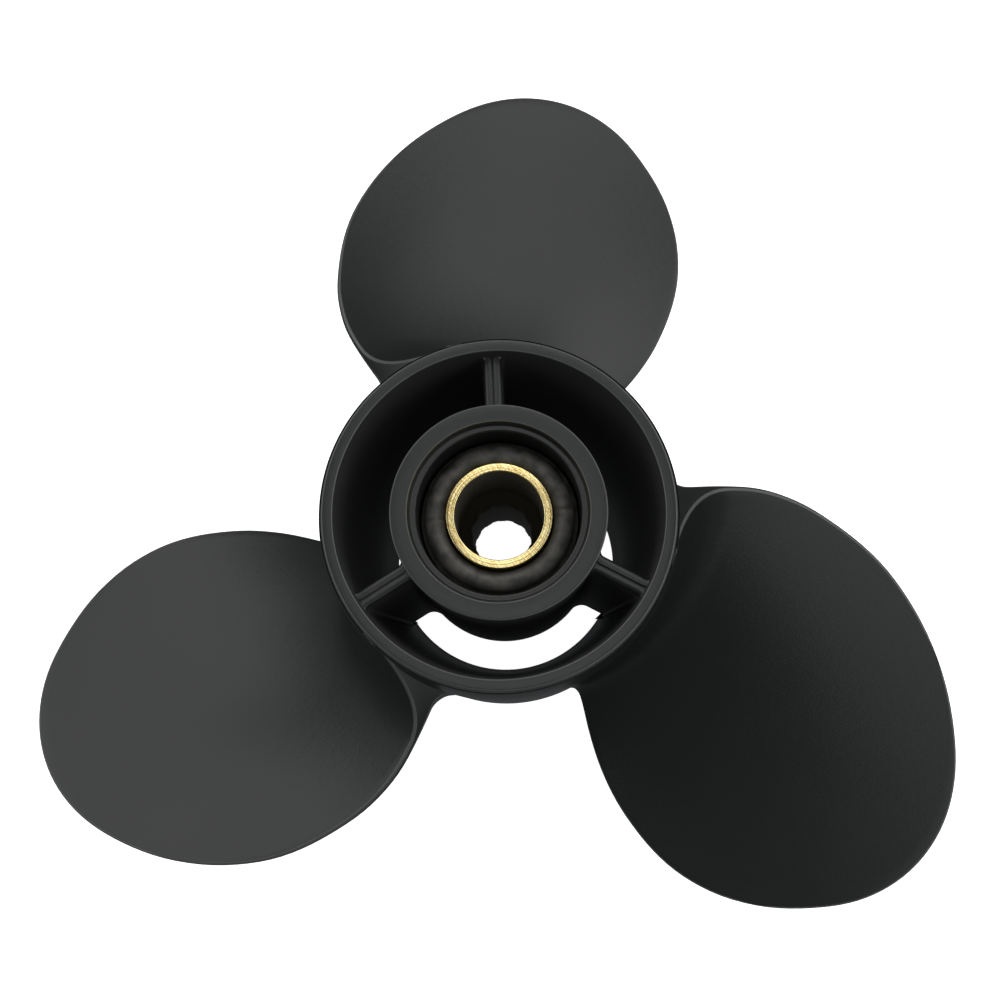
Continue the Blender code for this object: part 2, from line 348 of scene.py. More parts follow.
@dataclass(frozen=True)
class TurnedBrass:
    """Free-cutting brass, faced on a lathe and then filed.

    It gives the eye a pale gold ring crossed by slanting file marks over turning rings. Real
    rings and marks are finer than a pixel, so these are drawn as coarse as they need to show.
    """

    name: str = "turned_and_filed_brass"
    colour: str = "f6e5a8"
    filed_colour: str = "d6b872"
    metallic: float = 1.0
    roughness: float = 0.25
    ring: float = 0.691 * MM
    ring_wobble: float = 0.4
    mark: float = 0.4 * MM
    mark_layers: float = 2.0
    mark_stretch: float = 8.0
    mark_slant_deg: float = -50.0
    mark_start: float = 0.4
    mark_full: float = 0.64
    relief: float = 0.05 * MM
    bump: float = 0.6

    def make(self) -> Material:
        """Builds the material.

        Returns:
            The finished material.
        """
        made, tree, shader, place = new_material(self.name)
        rings = add_node(
            tree,
            "ShaderNodeTexWave",
            {"Vector": place, "Scale": math.tau / (WAVE_PHASE * self.ring), "Distortion": self.ring_wobble},
            wave_type="RINGS",
            rings_direction="Z",
        )
        slanted = add_node(
            tree,
            "ShaderNodeMapping",
            {
                "Vector": place,
                "Rotation": (0.0, 0.0, math.radians(self.mark_slant_deg)),
                "Scale": (self.mark_stretch, 1.0, 1.0),
            },
            vector_type="TEXTURE",
        )
        marks = add_node(
            tree, "ShaderNodeTexNoise", grains(slanted.outputs["Vector"], self.mark, self.mark_layers)
        )
        filed = add_node(
            tree,
            "ShaderNodeMapRange",
            {"Value": marks.outputs["Fac"], "From Min": self.mark_start, "From Max": self.mark_full},
        )
        tone = add_node(
            tree,
            "ShaderNodeMix",
            {"Factor": filed.outputs["Result"], "A": linear(self.colour), "B": linear(self.filed_colour)},
            data_type="RGBA",
        )
        height = add_node(
            tree, "ShaderNodeMath", {0: rings.outputs["Fac"], 1: marks.outputs["Fac"]}, operation="ADD"
        )
        bump = add_node(
            tree,
            "ShaderNodeBump",
            {"Height": height.outputs["Value"], "Strength": self.bump, "Distance": self.relief},
        )
        surface = {
            "Base Color": tone.outputs["Result"],
            "Metallic": self.metallic,
            "Roughness": self.roughness,
            "Normal": bump.outputs["Normal"],
        }
        set_inputs(tree, shader, surface)
        return made


@dataclass(frozen=True)
class Corner:
    """One corner of a turned profile.

    Attributes:
        radius: Distance from the shaft axis.
        height: Place along the shaft axis.
        rounding: Length of each side that its round takes, or 0 for a sharp corner.
    """

    radius: float
    height: float
    rounding: float = 0.0


def turned(corners: list[Corner], steps: int, spacing: float = 2.0 * MM) -> BMesh:
    """Spins a closed profile right round the shaft axis.

    Args:
        corners: The profile's corners in order.
        steps: Number of steps round the axis.
        spacing: Longest edge left along the profile.

    Returns:
        A closed shell with its faces pointing out.
    """
    shape = bmesh.new()
    verts = [shape.verts.new((corner.radius, 0.0, corner.height)) for corner in corners]
    shape.faces.new(verts)
    for rounding in sorted({corner.rounding for corner in corners} - {0.0}):
        chosen = [vert for vert, corner in zip(verts, corners) if corner.rounding == rounding]
        bmesh.ops.bevel(
            shape,
            geom=chosen,
            offset=rounding,
            affect="VERTICES",
            segments=ROUND_STEPS,
            profile=0.5,
            material=-1,
        )
    bmesh.ops.delete(shape, geom=list(shape.faces), context="FACES_ONLY")
    for edge in [edge for edge in shape.edges if edge.calc_length() > spacing]:
        bmesh.ops.subdivide_edges(shape, edges=[edge], cuts=int(edge.calc_length() / spacing))
    bmesh.ops.spin(
        shape,
        geom=list(shape.verts) + list(shape.edges),
        cent=(0.0, 0.0, 0.0),
        axis=(0.0, 0.0, 1.0),
        dvec=(0.0, 0.0, 0.0),
        angle=math.tau,
        steps=steps,
        use_merge=True,
        use_duplicate=False,
    )
    bmesh.ops.recalc_face_normals(shape, faces=shape.faces)
    return shape


def unit_slab(rows: int, columns: int) -> tuple[BMesh, list[BMVert], list[BMVert]]:
    """Makes a closed slab of a unit grid and its copy, for a form to be mapped onto.

    Args:
        rows: Number of grid steps along Y.
        columns: Number of grid steps along X.

    Returns:
        The slab, the points of its near grid and the points of its far grid.
    """
    slab = bmesh.new()
    bmesh.ops.create_grid(slab, x_segments=columns, y_segments=rows, size=SLAB_EDGE)
    near = list(slab.verts)
    made = bmesh.ops.extrude_face_region(slab, geom=list(slab.faces), use_keep_orig=True)
    far = [item for item in made["geom"] if isinstance(item, BMVert)]
    return slab, near, far


def round_edges(shape: BMesh, edges: list[BMEdge], size: float, segments: int) -> list[BMFace]:
    """Rounds edges of a shape.

    Args:
        shape: The shape to change.
        edges: The edges to round.
        size: Width that each round takes from its two faces.
        segments: Number of faces across each round.

    Returns:
        The faces of the rounds.
    """
    made = bmesh.ops.bevel(
        shape, geom=edges, offset=size, affect="EDGES", segments=segments, profile=0.5, material=-1
    )
    return made["faces"]


def fillet_reach(distance: float, radius: float) -> float:
    """How far a fillet stands out from the wall it runs up.

    Args:
        distance: Distance from the wall that the fillet starts on.
        radius: The fillet's radius.

    Returns:
        Its reach there, from the radius at the wall to 0 one radius away.
    """
    left = min(max(radius - distance, 0.0), radius)
    return radius - math.sqrt(radius * radius - left * left)


def turn_about_shaft(shape: BMesh, angle_deg: float) -> None:
    """Turns a shape about the shaft axis."""
    turn = Matrix.Rotation(math.radians(angle_deg), 3, "Z")
    bmesh.ops.rotate(shape, verts=shape.verts, cent=(0.0, 0.0, 0.0), matrix=turn)


def link_new(name: str, data: ID) -> Object:
    """Makes an object of a mesh, light or camera and links it to the scene.

    Args:
        name: The object's name.
        data: The mesh, light or camera.

    Returns:
        The new object.
    """
    made = bpy.data.objects.new(name, data)
    bpy.context.scene.collection.objects.link(made)
    return made


def make_object(name: str, shape: BMesh) -> Object:
    """Turns a bmesh into a linked object at the origin.

    Args:
        name: The object's name.
        shape: Its shape, which is freed.

    Returns:
        The new object.
    """
    mesh = bpy.data.meshes.new(name)
    shape.to_mesh(mesh)
    shape.free()
    return link_new(name, mesh)


def united(name: str, shapes: list[BMesh], finishes: list[Material]) -> Object:
    """Joins overlapping closed shapes into one closed object.

    Args:
        name: The object's name.
        shapes: The shapes, which are freed.
        finishes: The materials that the shapes' faces are numbered by.

    Returns:
        The joined object.
    """
    target, *others = [make_object(f"{name}_form_{place}", shape) for place, shape in enumerate(shapes)]
    for form in (target, *others):
        for finish in finishes:
            form.data.materials.append(finish)
    for other in others:
        union = target.modifiers.new("join", "BOOLEAN")
        union.operation = "UNION"
        union.solver = "MANIFOLD"
        union.object = other
    bpy.context.view_layer.update()
    evaluated = target.evaluated_get(bpy.context.evaluated_depsgraph_get())
    mesh = bpy.data.meshes.new_from_object(evaluated)
    mesh.name = name
    for place, finish in enumerate(finishes):
        mesh.materials[place] = finish
    for item in [target, *others]:
        bpy.data.objects.remove(item)
    return link_new(name, mesh)


def shade_round(item: Object) -> None:
    """Shades an object smooth and keeps its creases sharp."""
    item.data.shade_smooth()
    item.data.set_sharp_from_angle(angle=math.radians(CREASE_DEG))


def stand_for(item: Object, node: str) -> None:
    """Lets a piece ride on the body in a node's place and hides the node's CAD part.

    Args:
        item: The finished piece.
        node: The CAD node that it stands for.
    """
    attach(item, BODY)
    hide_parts(node)


@dataclass(frozen=True)
class Barrel:
    """The casting's outer tube: stepped rim, straight outside and drafted exhaust passage.

    The passage's sand core lay a little low at its forward end, as the photo's window shows.
    """

    radius: float = 36.0 * MM
    rim_outer_radius: float = 34.5 * MM
    rim_inner_radius: float = 32.2 * MM
    slot_depth: float = 1.3 * MM
    slot_width: float = 0.25 * MM
    shoulder_radius: float = 34.95 * MM
    shoulder_depth: float = 0.9 * MM
    neck_radius: float = 35.35 * MM
    neck_depth: float = 3.0 * MM
    shoulder_length: float = 7.6 * MM
    shoulder_rounding: float = 3.0 * MM
    passage_forward_radius: float = 27.3 * MM
    core_shift: float = 0.8 * MM
    forward_bore_radius: float = 31.8 * MM
    forward_bore_depth: float = 6.0 * MM
    rounding: float = 0.3 * MM
    outer_rounding: float = 0.5 * MM
    steps: int = 240

    def passage_radius(self, height: float) -> float:
        """Inner radius of the drafted passage at a height."""
        share = (RIM_Z - height) / (RIM_Z - FORWARD_Z - self.forward_bore_depth)
        return self.rim_inner_radius + (self.passage_forward_radius - self.rim_inner_radius) * share

    def shape(self) -> BMesh:
        """Builds the tube.

        Returns:
            The closed tube.
        """
        passage_end = FORWARD_Z + self.forward_bore_depth
        slot_z = RIM_Z - self.slot_depth
        corners = [
            Corner(self.rim_inner_radius, RIM_Z, self.rounding),
            Corner(self.rim_outer_radius, RIM_Z, self.outer_rounding),
            Corner(self.rim_outer_radius, slot_z),
            Corner(self.rim_outer_radius + self.slot_width, slot_z),
            Corner(self.shoulder_radius, RIM_Z - self.shoulder_depth, self.rounding / 2),
            Corner(self.neck_radius, RIM_Z - self.neck_depth, self.rounding),
            Corner(self.radius, RIM_Z - self.shoulder_length, self.shoulder_rounding),
            Corner(self.radius, FORWARD_Z, self.rounding),
            Corner(self.forward_bore_radius, FORWARD_Z, self.rounding / 2),
            Corner(self.forward_bore_radius, passage_end, self.rounding),
            Corner(self.passage_forward_radius, passage_end, self.rounding),
        ]
        tube = turned(corners, self.steps)
        for vert in tube.verts:
            in_passage = from_shaft(vert.co) < self.passage_radius(vert.co.z) + self.rounding
            if in_passage and vert.co.z > passage_end - TOLERANCE:
                vert.co.y -= self.core_shift * (RIM_Z - vert.co.z) / (RIM_Z - passage_end)
        return tube


@dataclass(frozen=True)
class InnerHub:
    """The casting's inner tube, which holds the rubber bushing, with a stepped aft mouth."""

    radius: float = 21.2 * MM
    mouth_radius: float = 17.8 * MM
    step_radius: float = 17.3 * MM
    bore_radius: float = 16.2 * MM
    mouth_depth: float = 1.6 * MM
    length: float = 62.0 * MM
    rounding: float = 0.4 * MM
    steps: int = 144

    def shape(self) -> BMesh:
        """Builds the tube.

        Returns:
            The closed tube.
        """
        forward = RIM_Z - self.length
        step_z = RIM_Z - self.mouth_depth
        corners = [
            Corner(self.mouth_radius, RIM_Z, self.rounding / 2),
            Corner(self.radius, RIM_Z, self.rounding),
            Corner(self.radius, forward, self.rounding),
            Corner(self.bore_radius, forward, self.rounding / 2),
            Corner(self.bore_radius, step_z, self.rounding),
            Corner(self.step_radius, step_z, self.rounding / 2),
        ]
        return turned(corners, self.steps)


@dataclass(frozen=True)
class Rib:
    """One radial rib between the inner hub and the barrel, with draft and a parting groove."""

    angle_deg: float
    hub: InnerHub
    barrel: Barrel
    aft_thickness: float = 3.8 * MM
    forward_thickness: float = 4.6 * MM
    recess: float = 3.0 * MM
    end_gap: float = 1.5 * MM
    aft_fillet: float = 0.9 * MM
    forward_hub_fillet: float = 2.6 * MM
    forward_wall_fillet: float = 0.6 * MM
    overlap: float = 2.0 * MM
    rounding: float = 1.2 * MM
    rounding_steps: int = 6
    groove_share: float = 0.14
    groove_depth: float = 0.22 * MM
    fillet_steps: int = 8
    height_steps: int = 20

    def outline(
        self, height: float, half: float, hub_fillet: float, wall_fillet: float
    ) -> list[tuple[float, float]]:
        """Works out the rib's plan at a height.

        Args:
            height: Place along the shaft axis.
            half: Half the rib's thickness between its fillets.
            hub_fillet: Radius of the fillet at the inner hub.
            wall_fillet: Radius of the fillet at the barrel.

        Returns:
            Radius and half thickness of each point.
        """
        wall = self.barrel.passage_radius(height)
        shares = [(step / self.fillet_steps) ** 2 for step in range(self.fillet_steps + 1)]
        points = [(self.hub.radius - self.overlap, half + hub_fillet)]
        for share in shares:
            distance = hub_fillet * share
            points.append((self.hub.radius + distance, half + fillet_reach(distance, hub_fillet)))
        for share in reversed(shares):
            distance = wall_fillet * share
            points.append((wall - distance, half + fillet_reach(distance, wall_fillet)))
        points.append((wall + self.overlap, half + wall_fillet))
        return points

    def shape(self) -> BMesh:
        """Builds the rib.

        Returns:
            The closed rib, whose ends lie inside the hub's and the barrel's walls.
        """
        aft_z = RIM_Z - self.recess
        forward_z = RIM_Z - self.hub.length + self.end_gap
        aft = self.outline(aft_z, self.aft_thickness / 2, self.aft_fillet, self.aft_fillet)
        forward = self.outline(
            forward_z, self.forward_thickness / 2, self.forward_hub_fillet, self.forward_wall_fillet
        )
        row_shares = (0.0, self.groove_share, 1.0)
        rows = 2 * (len(row_shares) - 1)
        columns = len(aft) - 1
        slab, near, far = unit_slab(rows, columns)
        sides = [edge for edge in slab.edges if self.on_side(edge)]
        for verts, plan, height, drop in (
            (near, aft, aft_z, self.groove_depth),
            (far, forward, forward_z, 0.0),
        ):
            for vert in verts:
                radius, half = plan[round((vert.co.x + SLAB_EDGE) * columns)]
                row = round(vert.co.y * rows)
                across = half * math.copysign(row_shares[abs(row)], row)
                sunk = drop if row == 0 else 0.0
                vert.co = (math.sqrt(radius * radius - half * half), across, height - sunk)
        bmesh.ops.recalc_face_normals(slab, faces=slab.faces)
        round_edges(slab, sides, self.rounding, self.rounding_steps)
        tall = [edge for edge in slab.edges if edge.calc_length() > (aft_z - forward_z) / 2]
        bmesh.ops.subdivide_edges(slab, edges=tall, cuts=self.height_steps, use_grid_fill=True)
        turn_about_shaft(slab, self.angle_deg)
        return slab

    @staticmethod
    def on_side(edge: BMEdge) -> bool:
        """Whether an edge of the unit slab runs along one of the rib's two sides.

        Args:
            edge: The edge, before the slab is mapped onto the rib.

        Returns:
            True on the long edges of both sides.
        """
        start, end = (vert.co for vert in edge.verts)
        along = abs(start.x - end.x) > TOLERANCE
        return along and all(abs(abs(point.y) - SLAB_EDGE) < TOLERANCE for point in (start, end))


@dataclass(frozen=True)
class Station:
    """One station of a blade: radius, greatest thickness, middle angle and half angle in degrees."""

    radius: float
    thickness: float
    middle_deg: float
    half_deg: float


@dataclass(frozen=True)
class Blade:
    """One blade on a helical pitch surface, spreading into the barrel in a root fillet."""

    angle_deg: float
    barrel: Barrel
    pitch: float = 203.2 * MM
    pitch_radius: float = 75.0 * MM
    pitch_fall: float = 1.02
    middle_z: float = RIM_Z - 40.4 * MM
    rake: float = -0.12
    rake_start_radius: float = 40.0 * MM
    camber: float = 3.0 * MM
    edge_thickness: float = 1.4 * MM
    edge_rounding: float = 0.5 * MM
    edge_steps: int = 4
    fullness: float = 0.6
    leading_fillet: float = 3.0 * MM
    trailing_fillet_width: float = 14.0 * MM
    trailing_fillet_height: float = 20.0 * MM
    trailing_sink: float = 1.5 * MM
    sink_power: float = 4.0
    suction_fillet: float = 7.0 * MM
    suction_edge_fillet: float = 3.5 * MM
    fillet_top_z: float = RIM_Z - 1.05 * MM
    root_depth: float = 2.2 * MM
    corner_radius: float = 100.0 * MM
    thinning_radius: float = 80.0 * MM
    thinning_power: float = 3.0
    root_steps: int = 24
    row_spacing: float = 2.0 * MM
    columns: int = 40
    stations: tuple[Station, ...] = (
        Station(36.0 * MM, 8.0 * MM, 5.7, 35.4),
        Station(40.0 * MM, 7.2 * MM, 5.1, 35.9),
        Station(46.0 * MM, 6.3 * MM, 4.0, 36.6),
        Station(54.0 * MM, 5.5 * MM, 2.8, 36.7),
        Station(62.0 * MM, 4.9 * MM, 1.5, 35.5),
        Station(72.0 * MM, 4.3 * MM, -0.1, 32.7),
        Station(82.0 * MM, 3.8 * MM, -1.4, 29.2),
        Station(92.0 * MM, 3.3 * MM, -2.5, 24.4),
        Station(100.0 * MM, 3.0 * MM, -3.1, 19.6),
        Station(108.0 * MM, 2.7 * MM, -3.5, 13.7),
        Station(114.0 * MM, 2.4 * MM, -3.8, 8.2),
        Station(117.5 * MM, 2.2 * MM, -3.9, 0.0),
    )

    @property
    def tip_radius(self) -> float:
        """Radius of the blade's tip."""
        return self.stations[-1].radius

    def read(self, radius: float, values: list[float]) -> float:
        """Reads a smooth curve through one value of each station.

        Args:
            radius: Where to read it.
            values: The value at each station.

        Returns:
            The value at the radius.
        """
        radii = [station.radius for station in self.stations]
        slopes = np.gradient(np.array(values), np.array(radii))
        place = min(max(int(np.searchsorted(radii, radius)) - 1, 0), len(radii) - 2)
        width = radii[place + 1] - radii[place]
        share = min(max((radius - radii[place]) / width, 0.0), 1.0)
        start = (1 + 2 * share) * (1 - share) ** 2 * values[place]
        leave = share * (1 - share) ** 2 * width * slopes[place]
        end = share * share * (3 - 2 * share) * values[place + 1]
        arrive = share * share * (share - 1) * width * slopes[place + 1]
        return float(start + leave + end + arrive)

    def middle_angle(self, radius: float) -> float:
        """Angle of the blade's middle line at a radius."""
        return math.radians(self.read(radius, [station.middle_deg for station in self.stations]))

    def half_angle(self, radius: float) -> float:
        """Half the blade's angle at a radius, read from squares so that the tip is round."""
        squares = [station.half_deg ** 2 for station in self.stations]
        return math.radians(math.sqrt(max(self.read(radius, squares), 0.0)))

    def thickness(self, radius: float) -> float:
        """Greatest thickness at a radius."""
        return self.read(radius, [station.thickness for station in self.stations])

    def edge_angle(self, edge: Edge, radius: float) -> float:
        """Angle of one edge at a radius, from the blade's reference line."""
        return self.middle_angle(radius) + edge.value * self.half_angle(radius)

    def rise(self, radius: float) -> float:
        """Rise of the pitch surface per radian at a radius, from a pitch that falls outwards."""
        return (self.pitch - self.pitch_fall * (radius - self.pitch_radius)) / math.tau

    def surface_point(self, radius: float, angle: float, outward: float) -> Vector:
        """Point at a distance square to the pitch surface.

        Args:
            radius: Distance from the shaft axis.
            angle: Angle from the blade's reference line.
            outward: Distance from the surface, aft of it where positive.

        Returns:
            The point, before the blade is turned to its own angle.
        """
        rise = self.rise(radius)
        slope = (rise + 2 * self.camber * angle) / radius
        length = math.hypot(1.0, slope)
        height = self.middle_z + self.rake * (radius - self.rake_start_radius)
        height += rise * angle + self.camber * angle * angle + outward / length
        moved = angle - slope * outward / (length * radius)
        return Vector((radius * math.cos(moved), radius * math.sin(moved), height))

    def side_radii(self) -> list[float]:
        """Works out the radii of the grid's rows where they meet the blade's edges.

        Returns:
            The radii, close up the root fillet and then evenly out.
        """
        foot = self.barrel.radius - self.trailing_sink
        radii = [self.barrel.radius - self.root_depth]
        for step in range(self.root_steps + 1):
            radii.append(foot + self.trailing_fillet_width * (step / self.root_steps) ** 2)
        left = self.corner_radius - radii[-1]
        rows = round(left / self.row_spacing)
        return radii + [radii[-1] + left * step / rows for step in range(1, rows + 1)]

    def planform(self, across: float, side_radius: float) -> tuple[float, float]:
        """Place of a grid point in the blade's outline.

        Args:
            across: Share of the way from the leading to the trailing edge.
            side_radius: Radius of the point's row where it meets the edges.

        Returns:
            The point's radius and its angle from the reference line.
        """
        leading = self.edge_angle(Edge.LEADING, side_radius)
        trailing = self.edge_angle(Edge.TRAILING, side_radius)
        angle = leading + (trailing - leading) * across
        share = 2 * across - 1
        rim_radius = self.tip_radius - (self.tip_radius - self.corner_radius) * share * share
        rim_angle = self.middle_angle(rim_radius) + math.copysign(self.half_angle(rim_radius), share)
        first = self.edge_angle(Edge.LEADING, self.corner_radius)
        last = self.edge_angle(Edge.TRAILING, self.corner_radius)
        root = self.barrel.radius
        weight = max(side_radius - root, 0.0) / (self.corner_radius - root)
        pull = weight * weight
        radius = side_radius + pull * (rim_radius - self.corner_radius)
        return radius, angle + pull * (rim_angle - first - (last - first) * across)

    def bulge(self, across: float) -> float:
        """Share of the blade's swell at a place across it, from 0 at both edges to 1 in the middle."""
        return max(1 - (2 * across - 1) ** 2, 0.0) ** self.fullness

    def depth(self, across: float, side_radius: float, radius: float) -> float:
        """Thickness of the blade at a grid point.

        Args:
            across: Share of the way from the leading to the trailing edge.
            side_radius: Radius of the point's row where it meets the edges.
            radius: The point's own radius.

        Returns:
            The thickness between the two faces, without the root fillet.
        """
        way = max(side_radius - self.thinning_radius, 0.0) / (self.corner_radius - self.thinning_radius)
        tip = max(1 - way ** self.thinning_power, 0.0) ** self.fullness
        return self.edge_thickness + (self.thickness(radius) - self.edge_thickness) * self.bulge(across) * tip

    def flare(self, face: Face, across: float, radius: float) -> float:
        """Reach of the root fillet on one face.

        On the pressure face it grows from the leading to the trailing edge, where it climbs to
        the rim. On the suction face it is smallest at both edges.

        Args:
            face: Which face.
            across: Share of the way from the leading to the trailing edge.
            radius: Distance from the shaft axis.

        Returns:
            How far the fillet stands out from the face.
        """
        if face is Face.PRESSURE:
            foot = self.barrel.radius - self.trailing_sink * across ** self.sink_power
            width = self.leading_fillet + (self.trailing_fillet_width - self.leading_fillet) * across
            height = self.leading_fillet + (self.trailing_fillet_height - self.leading_fillet) * across
            return fillet_reach(radius - foot, width) * height / width
        swell = self.suction_fillet - self.suction_edge_fillet
        size = self.suction_edge_fillet + swell * self.bulge(across)
        return fillet_reach(radius - self.barrel.radius, size)

    def face_point(self, face: Face, across: float, side_radius: float) -> Vector:
        """Point on one face of the blade.

        Args:
            face: Which face.
            across: Share of the way from the leading to the trailing edge.
            side_radius: Radius of the point's row where it meets the edges.

        Returns:
            The point, before the blade is turned to its own angle.
        """
        radius, angle = self.planform(across, side_radius)
        flare = self.flare(face, across, radius)
        if face is Face.PRESSURE:
            point = self.surface_point(radius, angle, flare)
            point.z = min(point.z, self.fillet_top_z)
            return point
        return self.surface_point(radius, angle, -self.depth(across, side_radius, radius) - flare)

    def shape(self) -> BMesh:
        """Builds the blade.

        Returns:
            The closed blade, whose root lies inside the barrel's wall.
        """
        radii = self.side_radii()
        rows = len(radii) - 1
        slab, near, far = unit_slab(rows, self.columns)
        rim_edges = [edge for edge in slab.edges if self.on_rim(edge)]
        for verts, face in ((near, Face.PRESSURE), (far, Face.SUCTION)):
            for vert in verts:
                side_radius = radii[round((vert.co.y + SLAB_EDGE) * rows)]
                vert.co = self.face_point(face, vert.co.x + SLAB_EDGE, side_radius)
        bmesh.ops.recalc_face_normals(slab, faces=slab.faces)
        # The blades' edge rounds get a lighter paint, a painted highlight along their edges
        for piece in round_edges(slab, rim_edges, self.edge_rounding, self.edge_steps):
            piece.material_index = Coat.RUBBED.value
        turn_about_shaft(slab, self.angle_deg)
        return slab

    @staticmethod
    def on_rim(edge: BMEdge) -> bool:
        """Whether an edge of the unit slab runs along the blade's leading edge, tip or trailing edge.

        Args:
            edge: The edge, before the slab is mapped onto the blade.

        Returns:
            True on those three sides of both faces.
        """
        start, end = (vert.co for vert in edge.verts)
        if (start - end).length < TOLERANCE:
            return False
        on_side = abs(start.x - end.x) < TOLERANCE and abs(abs(start.x) - SLAB_EDGE) < TOLERANCE
        on_tip = abs(start.y - end.y) < TOLERANCE and abs(start.y - SLAB_EDGE) < TOLERANCE
        return on_side or on_tip


@dataclass(frozen=True)
class PropellerCasting:
    """The black-painted casting: barrel, inner hub, three ribs and three blades."""

    barrel: Barrel = field(default_factory=Barrel)
    hub: InnerHub = field(default_factory=InnerHub)
    paint: SatinPaint = field(default_factory=SatinPaint)
    # Lighter paint for the edge rounds, a painted highlight
    edge_highlight_paint: SatinPaint = SatinPaint("painted_highlight_on_the_edges", "5a5c5a", "464846")
    passage_paint: PassagePaint = field(default_factory=PassagePaint)
    wall_slope: float = 0.35
    face_slope: float = 0.93
    rib_angles_deg: tuple[float, ...] = (93.7, 213.7, 333.7)
    blade_angles_deg: tuple[float, ...] = (89.0, 209.0, 329.0)

    def build(self) -> Object:
        """Builds and dresses the casting.

        Returns:
            The finished object.
        """
        shapes = [self.barrel.shape(), self.hub.shape()]
        shapes += [Rib(angle, self.hub, self.barrel).shape() for angle in self.rib_angles_deg]
        shapes += [Blade(angle, self.barrel).shape() for angle in self.blade_angles_deg]
        paints = {
            Coat.SATIN: self.paint,
            Coat.RUBBED: self.edge_highlight_paint,
            Coat.PASSAGE: self.passage_paint,
        }
        casting = united("cast_propeller", shapes, [paints[coat].make() for coat in Coat])
        self.dress_walls_and_edges(casting)
        shade_round(casting)
        stand_for(casting, CASTING_NODE)
        return casting

    def dress_walls_and_edges(self, casting: Object) -> None:
        """Gives the passages' walls their matt paint and the aft faces' rounds a lighter paint that is a
        painted highlight.

        Args:
            casting: The joined casting.
        """
        edge_z = RIM_Z - self.barrel.outer_rounding
        wall_radius = self.hub.radius - self.hub.rounding
        for piece in casting.data.polygons:
            in_passage = wall_radius < from_shaft(piece.center) < self.barrel.rim_inner_radius
            # The middle of each aft round gets the lighter paint, a painted highlight picked by how far the
            # face leans
            if piece.center.z > edge_z and self.wall_slope < piece.normal.z < self.face_slope:
                piece.material_index = Coat.RUBBED.value
            elif in_passage and abs(piece.normal.z) < self.wall_slope:
                piece.material_index = Coat.PASSAGE.value


@dataclass(frozen=True)
class RubberBushing:
    """The moulded rubber tube between inner hub and sleeve, with a rounded crown at its aft end."""

    rubber: MouldedRubber = field(default_factory=MouldedRubber)
    inner_radius: float = 10.9 * MM
    crown_radius: float = 14.6 * MM
    crown_spread: float = 0.5 * MM
    crown_depth: float = 2.8 * MM
    crown_foot_rounding: float = 0.8 * MM
    # The crown's outer round stops just short of its inner one
    outer_round_share: float = 0.99
    outer_radius: float = 15.9 * MM
    aft_depth: float = 6.6 * MM
    shoulder_depth: float = 10.2 * MM
    forward_depth: float = 58.0 * MM
    mark_angles_deg: tuple[float, ...] = (8.0, 184.0)
    mark_depth: float = 0.35 * MM
    mark_width: float = 0.35 * MM
    rounding: float = 0.3 * MM
    steps: int = 240

    def build(self) -> Object:
        """Builds and dresses the bushing.

        Returns:
            The finished object.
        """
        crown_rounding = (self.crown_radius - self.inner_radius) / 2
        aft = RIM_Z - self.aft_depth
        forward = RIM_Z - self.forward_depth
        corners = [
            Corner(self.inner_radius, aft, crown_rounding),
            Corner(self.crown_radius, aft, crown_rounding * self.outer_round_share),
            Corner(self.crown_radius + self.crown_spread, aft - self.crown_depth, self.crown_foot_rounding),
            Corner(self.outer_radius, RIM_Z - self.shoulder_depth, self.rounding),
            Corner(self.outer_radius, forward, self.rounding),
            Corner(self.inner_radius, forward, self.rounding),
        ]
        shape = turned(corners, self.steps)
        self.press_marks(shape)
        bushing = make_object("moulded_bushing", shape)
        bushing.data.materials.append(self.rubber.make())
        shade_round(bushing)
        stand_for(bushing, BUSHING_NODE)
        return bushing

    def press_marks(self, shape: BMesh) -> None:
        """Presses the mould's two parting marks across the crown.

        Args:
            shape: The bushing's shape.
        """
        lowest = RIM_Z - self.aft_depth - (self.crown_radius - self.inner_radius)
        for vert in shape.verts:
            angle = math.atan2(vert.co.y, vert.co.x)
            radius = from_shaft(vert.co)
            if vert.co.z < lowest:
                continue
            for mark_deg in self.mark_angles_deg:
                away = math.remainder(angle - math.radians(mark_deg), math.tau) * radius
                vert.co.z -= self.mark_depth * math.exp(-((away / self.mark_width) ** 2))


